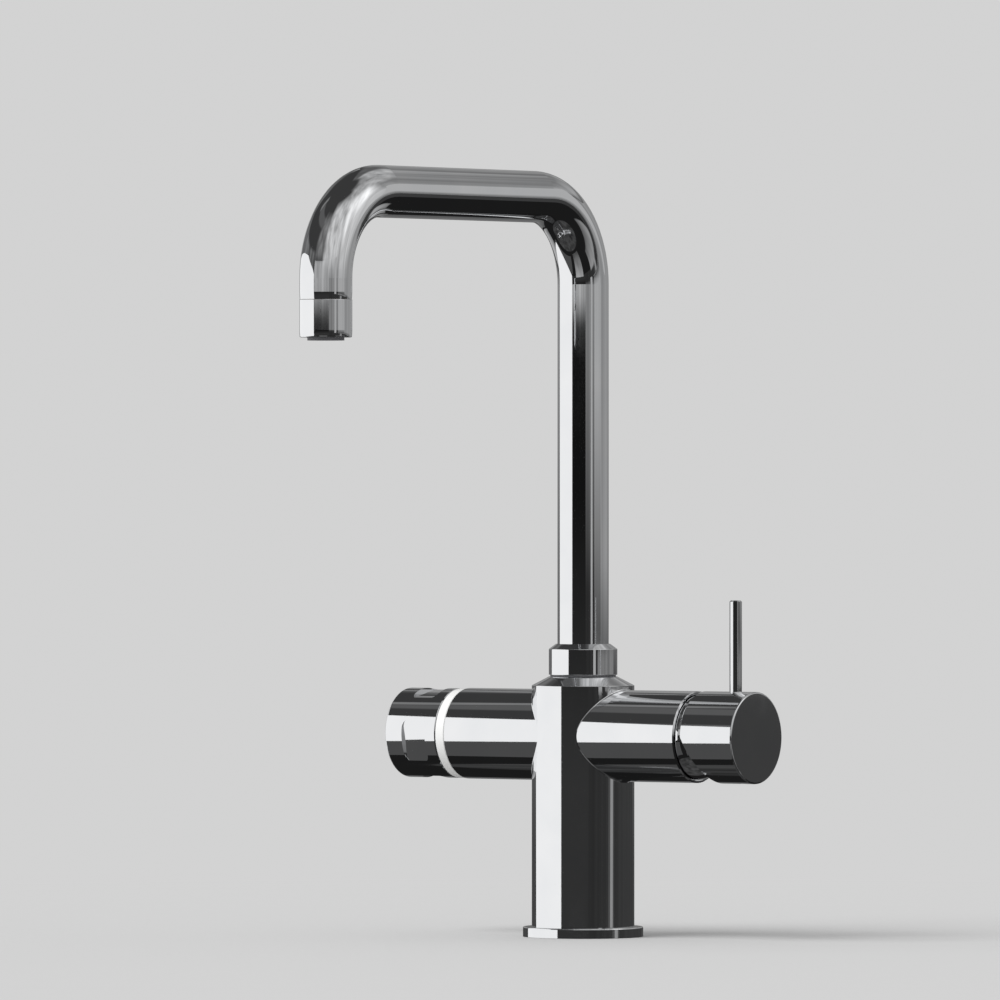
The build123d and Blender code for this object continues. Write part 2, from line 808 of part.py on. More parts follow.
# Cartridge base with its three ports, seal recesses and locating peg
with BuildPart() as cartridge_base:
    with BuildSketch(across(cartridge_x)):
        Circle(cartridge_diameter / 2)
    extrude(amount=base_thickness)
    with BuildSketch(across(cartridge_x - peg_length)):
        with Locations((0, peg_rise)):
            Circle(peg_diameter / 2)
    extrude(amount=peg_length)
    with BuildSketch(across(cartridge_x)):
        with Locations((-port_y, port_rise), (port_y, port_rise)):
            Circle(port_diameter / 2)
        with Locations((0, -outlet_drop)):
            Circle(outlet_diameter / 2)
    extrude(amount=base_thickness, mode=Mode.SUBTRACT)
    with BuildSketch(across(cartridge_x)):
        with Locations((-port_y, port_rise), (port_y, port_rise)):
            Circle(port_diameter / 2 + seal_ring_section + push_gap)
        with Locations((0, -outlet_drop)):
            Circle(outlet_diameter / 2 + seal_ring_section + push_gap)
    extrude(amount=seal_ring_section, mode=Mode.SUBTRACT)
save(cartridge_base, "cartridge_base")

# Three rubber port seals under the cartridge
with BuildPart() as cartridge_seals:
    with BuildSketch(across(cartridge_x)):
        with Locations((-port_y, port_rise), (port_y, port_rise)):
            Circle(port_diameter / 2 + seal_ring_section)
            Circle(port_diameter / 2, mode=Mode.SUBTRACT)
        with Locations((0, -outlet_drop)):
            Circle(outlet_diameter / 2 + seal_ring_section)
            Circle(outlet_diameter / 2, mode=Mode.SUBTRACT)
    extrude(amount=seal_ring_section)
save(cartridge_seals, "cartridge_seals")

# Fixed ceramic disc with the inlet and outlet ports
with BuildPart() as fixed_ceramic_disc:
    with BuildSketch(across(fixed_disc_x)):
        Circle(fixed_disc_diameter / 2)
        with Locations((-port_y, port_rise), (port_y, port_rise)):
            Circle(port_diameter / 2, mode=Mode.SUBTRACT)
        with Locations((0, -outlet_drop)):
            Circle(outlet_diameter / 2, mode=Mode.SUBTRACT)
    extrude(amount=fixed_disc_thickness)
save(fixed_ceramic_disc, "fixed_ceramic_disc")

# Moving ceramic disc with its mixing pocket
with BuildPart() as moving_ceramic_disc:
    with BuildSketch(across(moving_disc_x)):
        Circle(disc_diameter / 2)
    extrude(amount=moving_disc_thickness)
    with BuildSketch(across(moving_disc_x)):
        with Locations((0, -mix_pocket_drop)):
            Circle(mix_pocket_diameter / 2)
    extrude(amount=mix_pocket_depth, mode=Mode.SUBTRACT)
save(moving_ceramic_disc, "moving_ceramic_disc")

# Disc carrier with the pocket that the stem's ball pushes in
ball_pocket_radius = ball_diameter / 2 + ball_pocket_gap
with BuildPart() as disc_carrier:
    with BuildSketch(across(carrier_x)):
        Circle(disc_diameter / 2)
    extrude(amount=carrier_thickness)
    with BuildSketch(across(ball_x - ball_pocket_radius)):
        Circle(ball_pocket_radius)
    extrude(amount=carrier_top_x - ball_x + ball_pocket_radius, mode=Mode.SUBTRACT)
save(disc_carrier, "disc_carrier")

# Cartridge shell: cup over the discs with a neck for the rotor
shell_radius = cartridge_diameter / 2
neck_radius = neck_bore_radius + neck_wall
with BuildPart() as cartridge_shell:
    with BuildSketch(right_plane):
        with BuildLine():
            Polyline(
                (fixed_disc_x, shell_radius - cartridge_wall),
                (fixed_disc_x, shell_radius),
                (roof_top_x, shell_radius),
                (roof_top_x, neck_radius),
                (neck_top_x, neck_radius),
                (neck_top_x, neck_bore_radius),
                (roof_x, neck_bore_radius),
                (roof_x, shell_radius - cartridge_wall),
                close=True,
            )
        make_face()
    revolve(axis=arm_axis)
save(cartridge_shell, "cartridge_shell")

# Rotor in the neck, slotted for the stem and drilled for its pivot pin
with BuildPart() as cartridge_rotor:
    with BuildSketch(across(rotor_x)):
        Circle(rotor_flange_diameter / 2)
    extrude(amount=rotor_flange_thickness)
    with BuildSketch(across(rotor_x)):
        Circle(rotor_radius)
    extrude(amount=rotor_top_x - rotor_x)
    with BuildSketch(across(rotor_x)):
        Rectangle(stem_diameter + 2 * turn_gap, rotor_slot)
    extrude(amount=rotor_top_x - rotor_x, mode=Mode.SUBTRACT)
    with BuildSketch(Plane.XZ.offset(-rotor_radius)):
        with Locations((pivot_x, arm_height)):
            Circle(pin_diameter / 2 + push_gap)
    extrude(amount=rotor_diameter, mode=Mode.SUBTRACT)
save(cartridge_rotor, "cartridge_rotor")

# Pivot pin through the rotor and the stem
with BuildPart() as stem_pivot_pin:
    with BuildSketch(Plane.XZ.offset(-rotor_radius + pin_end_gap)):
        with Locations((pivot_x, arm_height)):
            Circle(pin_diameter / 2)
    extrude(amount=rotor_diameter - 2 * pin_end_gap)
save(stem_pivot_pin, "stem_pivot_pin")

# Stem: ball end, round shank with the pivot hole, and a square end for the handle
stem_square_x = pivot_x + sqrt(cavity_radius**2 - (stem_diameter / 2)**2) - stem_hold
with BuildPart() as cartridge_stem:
    with BuildSketch(right_plane):
        with BuildLine():
            Polyline(
                (ball_x, 0),
                (ball_x, stem_neck_diameter / 2),
                (pivot_x - stem_shoulder, stem_neck_diameter / 2),
                (pivot_x - stem_shoulder, stem_diameter / 2),
                (stem_square_x, stem_diameter / 2),
                (stem_square_x, 0),
                close=True,
            )
        make_face()
    revolve(axis=arm_axis)
    with Locations((ball_x, 0, arm_height)):
        Sphere(ball_diameter / 2)
    with BuildSketch(across(stem_square_x)):
        Rectangle(stem_square, stem_square)
    extrude(amount=stem_end_x - stem_square_x)
    with BuildSketch(Plane.XZ.offset(-stem_diameter)):
        with Locations((pivot_x, arm_height)):
            Circle(pin_diameter / 2 + turn_gap)
    extrude(amount=2 * stem_diameter, mode=Mode.SUBTRACT)
save(cartridge_stem, "cartridge_stem")

# Cartridge nut, with spanner notches in its face
nut_radius = nut_bore_radius - push_gap
with BuildPart() as cartridge_nut:
    with BuildSketch(across(roof_top_x)):
        Circle(nut_radius)
        Circle(neck_radius + push_gap, mode=Mode.SUBTRACT)
    extrude(amount=nut_thickness)
    with BuildSketch(across(nut_top_x - nut_notch_depth)):
        with PolarLocations((nut_radius + neck_radius) / 2, 4):
            Rectangle(2 * nut_radius - 2 * neck_radius, nut_notch)
    extrude(amount=nut_notch_depth, mode=Mode.SUBTRACT)
save(cartridge_nut, "cartridge_nut")

# Dome: polished spherical cover over the cartridge, centred on the lever's pivot, with an open groove
# round its foot
dome_foot = sqrt(dome_radius**2 - (mouth_x - pivot_x)**2)
dome_inner = dome_radius - dome_wall
hole_cos = cos(radians(dome_hole_angle))
hole_sin = sin(radians(dome_hole_angle))
mid_angle = radians((90 + dome_hole_angle) / 2)
dome_inner_foot = sqrt(dome_inner**2 - (mouth_x - pivot_x)**2)
with BuildPart() as handle_dome:
    with BuildSketch(right_plane):
        with BuildLine():
            outer_arc = ThreePointArc(
                (mouth_x, dome_foot),
                (pivot_x + dome_radius * cos(mid_angle), dome_radius * sin(mid_angle)),
                (pivot_x + dome_radius * hole_cos, dome_radius * hole_sin),
            )
            inner_arc = ThreePointArc(
                (pivot_x + dome_inner * hole_cos, dome_inner * hole_sin),
                (pivot_x + dome_inner * cos(mid_angle), dome_inner * sin(mid_angle)),
                (mouth_x, dome_inner_foot),
            )
            Line(outer_arc @ 1, inner_arc @ 0)
            Polyline(
                inner_arc @ 1,
                (arm_reach - dome_skirt, dome_inner_foot),
                (arm_reach - dome_skirt, nut_bore_radius - push_gap),
                (mouth_x, nut_bore_radius - push_gap),
                outer_arc @ 0,
            )
        make_face()
    revolve(axis=arm_axis)
save(handle_dome, "handle_dome")

# Mixer cap: the handle's barrel, hollowed round the dome and cut back on a slant below its axis, where it swings
# towards the arm as it tilts
relief_depth = arm_radius + edge_break
relief_x = cap_x + relief_depth * tan(radians(relief_angle))
socket_half = stem_square / 2 + push_gap
mouth_radius = sqrt(cavity_radius**2 - (cap_x - pivot_x)**2)
with BuildPart() as mixer_cap:
    with BuildSketch(right_plane):
        with BuildLine():
            ThreePointArc(
                (cap_x, mouth_radius),
                (pivot_x + cavity_radius * cos(radians(45)), cavity_radius * sin(radians(45))),
                (pivot_x + cavity_radius, 0),
            )
            Polyline(
                (pivot_x + cavity_radius, 0),
                (cap_end_x, 0),
                (cap_end_x, arm_radius),
                (cap_x, arm_radius),
                (cap_x, mouth_radius),
            )
        make_face()
    revolve(axis=arm_axis)
    outer_rims = mixer_cap.edges().filter_by(GeomType.CIRCLE).sort_by(SortBy.RADIUS)[-2:].sort_by(Axis.X)
    fillet(outer_rims[-1], cap_edge)
    with BuildSketch(right_plane):
        with BuildLine():
            Polyline((cap_x, 0), (relief_x, -relief_depth), (cap_x, -relief_depth), close=True)
        make_face()
    extrude(amount=arm_radius, both=True, mode=Mode.SUBTRACT)
    slanted_rims = mixer_cap.edges(Select.LAST).filter_by(GeomType.ELLIPSE)
    chamfer(slanted_rims, relief_edge)
    with BuildSketch(across(pivot_x + cavity_radius - stem_hold)):
        Rectangle(2 * socket_half, 2 * socket_half)
    extrude(amount=stem_square_length + stem_hold, mode=Mode.SUBTRACT)
    with BuildSketch(Plane.XY.offset(arm_height + arm_radius - lever_sink)):
        with Locations((lever_x, 0)):
            Circle(lever_diameter / 2 + push_gap)
    extrude(amount=lever_sink + arm_radius, mode=Mode.SUBTRACT)
    with BuildSketch(Plane.XY.offset(arm_height - arm_radius - stem_hold)):
        with Locations((handle_screw_x, 0)):
            Circle(handle_screw_diameter / 2 + push_gap)
    extrude(amount=arm_radius, mode=Mode.SUBTRACT)
save(mixer_cap, "mixer_cap")

# Lever pin standing in the cap
with BuildPart() as lever_pin:
    with BuildSketch(Plane.XY.offset(arm_height + arm_radius - lever_sink)):
        with Locations((lever_x, 0)):
            Circle(lever_diameter / 2)
    extrude(amount=lever_sink + lever_rise)
    chamfer(lever_pin.faces().sort_by(Axis.Z)[-1].edges(), lever_edge)
save(lever_pin, "lever_pin")

# Grub screw that clamps the cap on the stem from below
handle_screw_top = arm_height - stem_square / 2
with BuildPart() as handle_grub_screw:
    with BuildSketch(Plane.XY.offset(handle_screw_top - handle_screw_length)):
        with Locations((handle_screw_x, 0)):
            Circle(handle_screw_diameter / 2)
    extrude(amount=handle_screw_length)
    with BuildSketch(Plane.XY.offset(handle_screw_top - handle_screw_length)):
        with Locations((handle_screw_x, 0)):
            RegularPolygon(hex_key / 2, 6, major_radius=False)
    extrude(amount=hex_key_depth, mode=Mode.SUBTRACT)
save(handle_grub_screw, "handle_grub_screw")

# Valve seat in the left arm: chamber and thread for the headwork, with its two channels
with BuildPart() as valve_seat:
    with BuildSketch(left_plane):
        with BuildLine():
            Polyline(
                (core_flat, 0),
                (core_flat, seat_radius),
                (headwork_shoulder, seat_radius),
                (headwork_shoulder, headwork_thread_diameter / 2 + push_gap),
                (thread_start, headwork_thread_diameter / 2 + push_gap),
                (thread_start, valve_chamber_diameter / 2),
                (chamber_start, valve_chamber_diameter / 2),
                (chamber_start, 0),
                close=True,
            )
        make_face()
    revolve(axis=arm_axis)
    with BuildSketch(across(-chamber_start)):
        with Locations((tank_y, 0), (return_y, -return_drop)):
            Circle(tank_channel / 2)
    extrude(amount=chamber_start - core_flat, mode=Mode.SUBTRACT)
save(valve_seat, "valve_seat")

# Headwork body: barrel with side windows, thread, hexagon and a neck for the spindle
shaft_bore_radius = spindle_diameter / 2 + turn_gap
with BuildPart() as headwork_body:
    with BuildSketch(left_plane):
        with BuildLine():
            Polyline(
                (barrel_start, headwork_bore / 2),
                (barrel_start, headwork_barrel_diameter / 2),
                (thread_start, headwork_barrel_diameter / 2),
                (thread_start, headwork_thread_diameter / 2),
                (headwork_shoulder + gasket_thickness, headwork_thread_diameter / 2),
                (headwork_hex_top, headwork_thread_diameter / 2),
                (headwork_hex_top, headwork_neck_diameter / 2),
                (headwork_top, headwork_neck_diameter / 2),
                (headwork_top, shaft_bore_radius),
                (spindle_shoulder + face_gap, shaft_bore_radius),
                (spindle_shoulder + face_gap, headwork_bore / 2),
                close=True,
            )
        make_face()
    revolve(axis=arm_axis)
    with BuildSketch(across(-headwork_hex_top)):
        RegularPolygon(headwork_hex / 2, 6, major_radius=False)
        Circle(headwork_neck_diameter / 2, mode=Mode.SUBTRACT)
    extrude(amount=headwork_hex_height)
    with BuildSketch(Plane.XY.offset(arm_height - headwork_barrel_diameter)):
        with Locations((-(spindle_start + spindle_flange / 2), 0)):
            Rectangle(spindle_flange, headwork_window)
    extrude(amount=2 * headwork_barrel_diameter, mode=Mode.SUBTRACT)
save(headwork_body, "headwork_body")

# Gasket under the headwork's hexagon
with BuildPart() as headwork_gasket:
    with BuildSketch(across(-headwork_shoulder - gasket_thickness)):
        Circle(headwork_hex / 2)
        Circle(headwork_thread_diameter / 2 + push_gap, mode=Mode.SUBTRACT)
    extrude(amount=gasket_thickness)
save(headwork_gasket, "headwork_gasket")

# Rubber bottom seal that presses on the chamber's floor
with BuildPart() as headwork_seal:
    with BuildSketch(across(-barrel_start)):
        Circle(headwork_barrel_diameter / 2)
        Circle(bottom_seal_bore / 2, mode=Mode.SUBTRACT)
    extrude(amount=bottom_seal_height)
save(headwork_seal, "headwork_seal")

# Ceramic discs of the second valve: each has two opposite quarter ports, closed a quarter turn apart
valve_disc_radius = headwork_bore / 2 - turn_gap
port_outer = valve_disc_radius - valve_port_margin
port_inner = valve_port_margin
port_half = radians(valve_port_angle / 2)


def port_outline(turn):
    """Corner points of a straight-sided port that opens at a turn about the arm's axis."""
    corners = []
    for radius, side in ((port_inner, -1), (port_outer, -1), (port_outer, 0), (port_outer, 1), (port_inner, 1)):
        angle = radians(turn) + side * port_half
        corners.append((radius * cos(angle), radius * sin(angle)))
    return corners


with BuildPart() as headwork_fixed_disc:
    with BuildSketch(across(-valve_fixed_top)):
        Circle(valve_disc_radius)
        for turn in (0, 180):
            with BuildLine():
                Polyline(*port_outline(turn), close=True)
            make_face(mode=Mode.SUBTRACT)
    extrude(amount=valve_disc_thickness)
save(headwork_fixed_disc, "headwork_fixed_disc")

with BuildPart() as headwork_moving_disc:
    with BuildSketch(across(-spindle_start)):
        Circle(valve_disc_radius)
        for turn in (90, 270):
            with BuildLine():
                Polyline(*port_outline(turn), close=True)
            make_face(mode=Mode.SUBTRACT)
    extrude(amount=valve_disc_thickness)
save(headwork_moving_disc, "headwork_moving_disc")

# Spindle: flange on the moving disc, round shaft, clip groove and a many-sided drive end
drive_radius = spindle_diameter / 2
spindle_drive_start = spindle_end - spindle_drive_length
clip_groove_radius = drive_radius - spindle_groove_depth
with BuildPart() as headwork_spindle:
    with BuildSketch(left_plane):
        with BuildLine():
            Polyline(
                (spindle_start, 0),
                (spindle_start, valve_disc_radius),
                (spindle_shoulder, valve_disc_radius),
                (spindle_shoulder, drive_radius),
                (spindle_clip_start, drive_radius),
                (spindle_clip_start, clip_groove_radius),
                (spindle_clip_start + spindle_clip_thickness, clip_groove_radius),
                (spindle_clip_start + spindle_clip_thickness, drive_radius),
                (spindle_drive_start, drive_radius),
                (spindle_drive_start, 0),
                close=True,
            )
        make_face()
    revolve(axis=arm_axis)
    with BuildSketch(across(-spindle_end)):
        RegularPolygon(drive_radius, spindle_drive_sides)
    extrude(amount=spindle_drive_length)
save(headwork_spindle, "headwork_spindle")

# Spring clip on the spindle above the neck
with BuildPart() as spindle_clip:
    with BuildSketch(across(-spindle_clip_start - spindle_clip_thickness)):
        Circle(clip_groove_radius + spindle_clip_width)
        Circle(clip_groove_radius + push_gap, mode=Mode.SUBTRACT)
        with Locations((0, -clip_groove_radius - spindle_clip_width)):
            Rectangle(clip_groove_radius, 2 * clip_groove_radius + spindle_clip_width, mode=Mode.SUBTRACT)
    extrude(amount=spindle_clip_thickness)
save(spindle_clip, "spindle_clip")

# White marker ring between the arm and the knob, with a spigot in the arm's bore
with BuildPart() as marker_ring:
    with BuildSketch(left_plane):
        with BuildLine():
            Polyline(
                (arm_reach - marker_spigot, marker_bore / 2),
                (arm_reach - marker_spigot, arm_bore_radius - push_gap),
                (arm_reach, arm_bore_radius - push_gap),
                (arm_reach, marker_diameter / 2),
                (marker_end, marker_diameter / 2),
                (marker_end, marker_bore / 2),
                close=True,
            )
        make_face()
    revolve(axis=arm_axis)
    outer_rims = marker_ring.edges().filter_by(GeomType.CIRCLE).group_by(SortBy.RADIUS)[-1]
    chamfer(outer_rims, marker_edge)
save(marker_ring, "marker_ring")

# Cutter for one of the knob's finger recesses: a round-cornered pocket whose floor is flatter than the barrel, so
# that it runs out at its sides
recess_out = knob_end - recess_from_end
recess_in = recess_out - recess_length
knob_radius = knob_diameter / 2
with BuildPart() as recess_cutter:
    with BuildSketch(out_of_knob(recess_turn, recess_in + recess_length / 2)):
        RectangleRounded(recess_length, recess_width, recess_corner)
    extrude(amount=knob_diameter)
    with BuildSketch(along_knob(recess_turn)):
        with BuildLine():
            Polyline(
                (recess_in, knob_radius - recess_depth),
                (recess_out, knob_radius - recess_depth),
                (recess_out, knob_diameter),
                (recess_in, knob_diameter),
                close=True,
            )
        make_face()
    revolve(axis=Axis(along_knob(recess_turn).from_local_coords((0, knob_radius - recess_floor)), (1, 0, 0)),
            mode=Mode.INTERSECT)

# Knob: chrome barrel with the finger recesses round it
knob_screw_u = knob_end - knob_screw_from_end
with BuildPart() as knob_shell:
    with BuildSketch(across(-knob_end)):
        Circle(knob_radius)
    extrude(amount=knob_length)
    fillet(knob_shell.edges().filter_by(GeomType.CIRCLE).sort_by(Axis.X)[0], knob_edge)
    chamfer(knob_shell.edges().filter_by(GeomType.CIRCLE).sort_by(Axis.X)[-1], marker_edge)
    for index in range(recess_count):
        add(recess_cutter.part.rotate(arm_axis, index * 360 / recess_count), mode=Mode.SUBTRACT)
    with BuildSketch(across(-knob_carrier_end)):
        Circle(knob_cavity_diameter / 2)
    extrude(amount=knob_carrier_end - knob_start, mode=Mode.SUBTRACT)
    with BuildSketch(out_of_knob(knob_screw_turn, knob_screw_u)):
        Circle(knob_screw_diameter / 2 + push_gap)
    extrude(amount=knob_diameter, mode=Mode.SUBTRACT)
save(knob_shell, "knob_shell")

# Carrier inside the knob, driven by the spindle's many-sided end
with BuildPart() as knob_carrier:
    with BuildSketch(across(-knob_carrier_end)):
        Circle(knob_cavity_diameter / 2 - push_gap)
    extrude(amount=knob_carrier_length)
    with BuildSketch(across(-spindle_end - face_gap)):
        RegularPolygon(drive_radius + push_gap, spindle_drive_sides)
    extrude(amount=spindle_drive_length + face_gap, mode=Mode.SUBTRACT)
    with BuildSketch(across(-spindle_drive_start)):
        Circle(drive_radius + push_gap)
    extrude(amount=spindle_drive_start - knob_carrier_start, mode=Mode.SUBTRACT)
    with BuildSketch(out_of_knob(knob_screw_turn, knob_screw_u)):
        Circle(knob_screw_diameter / 2 + push_gap)
    extrude(amount=knob_diameter, mode=Mode.SUBTRACT)
save(knob_carrier, "knob_carrier")

# Grub screw that holds the knob and its carrier on the spindle
knob_screw_root = drive_radius + push_gap
knob_screw_tip = knob_radius - edge_break
with BuildPart() as knob_grub_screw:
    with BuildSketch(out_of_knob(knob_screw_turn, knob_screw_u).offset(knob_screw_root)):
        Circle(knob_screw_diameter / 2)
    extrude(amount=knob_screw_tip - knob_screw_root)
    with BuildSketch(out_of_knob(knob_screw_turn, knob_screw_u).offset(knob_screw_tip - hex_key_depth)):
        RegularPolygon(hex_key / 2, 6, major_radius=False)
    extrude(amount=hex_key_depth, mode=Mode.SUBTRACT)
save(knob_grub_screw, "knob_grub_screw")
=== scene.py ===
import bpy
import bmesh
import json
from math import atan, cos, radians, sin
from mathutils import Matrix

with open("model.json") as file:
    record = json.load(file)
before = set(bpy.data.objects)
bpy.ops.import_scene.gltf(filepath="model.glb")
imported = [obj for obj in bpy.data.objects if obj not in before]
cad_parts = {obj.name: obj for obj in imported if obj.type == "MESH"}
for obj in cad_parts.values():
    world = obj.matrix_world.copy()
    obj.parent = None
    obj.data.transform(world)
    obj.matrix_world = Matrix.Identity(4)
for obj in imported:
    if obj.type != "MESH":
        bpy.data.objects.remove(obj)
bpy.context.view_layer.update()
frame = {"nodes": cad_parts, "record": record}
nodes = frame["nodes"]
scene = bpy.context.scene
scene.view_settings.view_transform = "Standard"

# Camera: level and far away, 34.7 degrees round towards the mixer lever
camera_turn = radians(34.7)
camera_distance = 5.312
camera_height = 0.2277
focal_pixels = 10900.0
picture_pixels = 1000.0
column_right = 83.1
horizon_up = 31.0
camera_data = bpy.data.cameras.new("camera")
camera_data.sensor_width = 36.0
camera_data.lens = camera_data.sensor_width * focal_pixels / picture_pixels
camera = bpy.data.objects.new("camera", camera_data)
camera.location = (
    camera_distance * sin(camera_turn),
    -camera_distance * cos(camera_turn),
    camera_height,
)
camera.rotation_euler = (
    radians(90) - atan(horizon_up / focal_pixels),
    0,
    camera_turn + atan(column_right / focal_pixels),
)
scene.collection.objects.link(camera)
scene.camera = camera


# Materials: every pattern runs in the object's own coordinates, which are metres
noise_low, noise_high = 0.3, 0.7
cloud_scale = 45.0


def start_material(name):
    """Empty node material: its tree, its shader and its coordinates."""
    made = bpy.data.materials.new(name)
    made.use_nodes = True
    tree = made.node_tree
    tree.nodes.clear()
    output = tree.nodes.new("ShaderNodeOutputMaterial")
    shader = tree.nodes.new("ShaderNodeBsdfPrincipled")
    tree.links.new(shader.outputs[0], output.inputs["Surface"])
    place = tree.nodes.new("ShaderNodeTexCoord").outputs["Object"]
    return made, tree, shader, place


def noise(tree, place, scale, detail=4.0, stretch=None):
    """Noise value at a scale per metre, stretched along an axis if asked."""
    if stretch:
        mapping = tree.nodes.new("ShaderNodeMapping")
        mapping.inputs["Scale"].default_value = stretch
        tree.links.new(place, mapping.inputs["Vector"])
        place = mapping.outputs[0]
    texture = tree.nodes.new("ShaderNodeTexNoise")
    texture.inputs["Scale"].default_value = scale
    texture.inputs["Detail"].default_value = detail
    tree.links.new(place, texture.inputs["Vector"])
    return texture.outputs["Fac"]


def spread(tree, value, low, high, start=noise_low, stop=noise_high, smooth=False):
    """Map a value from start..stop to low..high."""
    mapped = tree.nodes.new("ShaderNodeMapRange")
    if smooth:
        mapped.interpolation_type = "SMOOTHSTEP"
    mapped.inputs["From Min"].default_value = start
    mapped.inputs["From Max"].default_value = stop
    mapped.inputs["To Min"].default_value = low
    mapped.inputs["To Max"].default_value = high
    tree.links.new(value, mapped.inputs["Value"])
    return mapped.outputs["Result"]


def blend(tree, value, one, other):
    """Colour between two colours by a value."""
    ramp = tree.nodes.new("ShaderNodeValToRGB")
    ramp.color_ramp.elements[0].position = noise_low
    ramp.color_ramp.elements[1].position = noise_high
    ramp.color_ramp.elements[0].color = (*one, 1)
    ramp.color_ramp.elements[1].color = (*other, 1)
    tree.links.new(value, ramp.inputs["Fac"])
    return ramp.outputs["Color"]


def dent(tree, shader, value, strength, depth):
    """Bump from a value, with its depth in metres."""
    bump = tree.nodes.new("ShaderNodeBump")
    bump.inputs["Strength"].default_value = strength
    bump.inputs["Distance"].default_value = depth
    tree.links.new(value, bump.inputs["Height"])
    tree.links.new(bump.outputs[0], shader.inputs["Normal"])


def surface(name, one, other, rough, grain, metal=0.0, stretch=None, bump=(0.1, 0.0001), coat=0.0):
    """Material with two near colours, a range of roughness and a fine grain."""
    made, tree, shader, place = start_material(name)
    cloud = noise(tree, place, cloud_scale)
    fine = noise(tree, place, grain, detail=3.0, stretch=stretch)
    tree.links.new(blend(tree, cloud, one, other), shader.inputs["Base Color"])
    tree.links.new(spread(tree, fine, *rough), shader.inputs["Roughness"])
    shader.inputs["Metallic"].default_value = metal
    shader.inputs["Coat Weight"].default_value = coat
    dent(tree, shader, fine, *bump)
    return made


finish_values = {
    "chrome": {
        "one": (0.80, 0.81, 0.825),
        "other": (0.845, 0.85, 0.86),
        "rough": (0.02, 0.05),
        "grain": 60.0,
        "metal": 1.0,
        "bump": (0.02, 0.00002),
    },
    "marker_white": {
        "one": (0.90, 0.90, 0.89),
        "other": (0.93, 0.93, 0.925),
        "rough": (0.2, 0.3),
        "grain": 900.0,
        "coat": 0.4,
    },
    "brass": {
        "one": (0.66, 0.47, 0.20),
        "other": (0.76, 0.58, 0.30),
        "rough": (0.22, 0.4),
        "grain": 800.0,
        "metal": 1.0,
        "stretch": (1, 1, 12),
    },
    "rubber": {
        "one": (0.018, 0.018, 0.018),
        "other": (0.035, 0.035, 0.034),
        "rough": (0.6, 0.8),
        "grain": 1500.0,
    },
    "ceramic": {
        "one": (0.86, 0.84, 0.79),
        "other": (0.92, 0.90, 0.86),
        "rough": (0.12, 0.2),
        "grain": 1200.0,
    },
    "steel": {
        "one": (0.46, 0.47, 0.48),
        "other": (0.58, 0.59, 0.60),
        "rough": (0.25, 0.42),
        "grain": 900.0,
        "metal": 1.0,
        "stretch": (1, 14, 1),
    },
    "plastic": {
        "one": (0.78, 0.78, 0.76),
        "other": (0.86, 0.86, 0.84),
        "rough": (0.4, 0.55),
        "grain": 1400.0,
    },
    "aerator_plastic": {
        "one": (0.10, 0.10, 0.11),
        "other": (0.16, 0.16, 0.17),
        "rough": (0.4, 0.6),
        "grain": 1400.0,
    },
}
finishes = {name: surface(name, **values) for name, values in finish_values.items()}
for subpart in frame["record"]["subparts"]:
    node = nodes[subpart["node"]]
    node.data.materials.clear()
    node.data.materials.append(finishes[subpart["material_slot"]])

# Stage: a pale floor that fades into a backdrop of its own colour
pale = 0.65
floor_tone = 0.571
floor_radius = 0.9
floor_fade_start = 0.4
floor_drop = 0.0001
floor_data = bpy.data.meshes.new("floor")
shape = bmesh.new()
bmesh.ops.create_circle(shape, cap_ends=True, segments=96, radius=floor_radius)
shape.to_mesh(floor_data)
shape.free()
floor = bpy.data.objects.new("floor", floor_data)
floor.location.z = -floor_drop
floor.visible_glossy = False
scene.collection.objects.link(floor)
floor_material, tree, shader, place = start_material("floor")
shader.inputs["Base Color"].default_value = (floor_tone, floor_tone, floor_tone, 1)
shader.inputs["Roughness"].default_value = 0.9
shader.inputs["Specular IOR Level"].default_value = 0.0
length = tree.nodes.new("ShaderNodeVectorMath")
length.operation = "LENGTH"
tree.links.new(place, length.inputs[0])
floor_cover = spread(tree, length.outputs["Value"], 1.0, 0.0, floor_fade_start, floor_radius, smooth=True)
tree.links.new(floor_cover, shader.inputs["Alpha"])
floor_data.materials.append(floor_material)

world = bpy.data.worlds.new("world")
scene.world = world
world.use_nodes = True
world.node_tree.nodes["Background"].inputs["Color"].default_value = (pale, pale, pale, 1)

key_tilt = radians(40)
key_turn = camera_turn - radians(60)
key_data = bpy.data.lights.new("soft_key", "SUN")
key_data.energy = 2.0
key_data.angle = radians(40)
key = bpy.data.objects.new("soft_key", key_data)
key.rotation_euler = (key_tilt, 0, key_turn)
key.visible_glossy = False
scene.collection.objects.link(key)

# Studio, seen only in reflections: a dark room with a soft box on the left, grey walls and soft lights
room_radius = 2.6
cells_across, cells_up = 48, 24
streak_scale = 2.2
streak_stretch = (1, 1, 0.25)


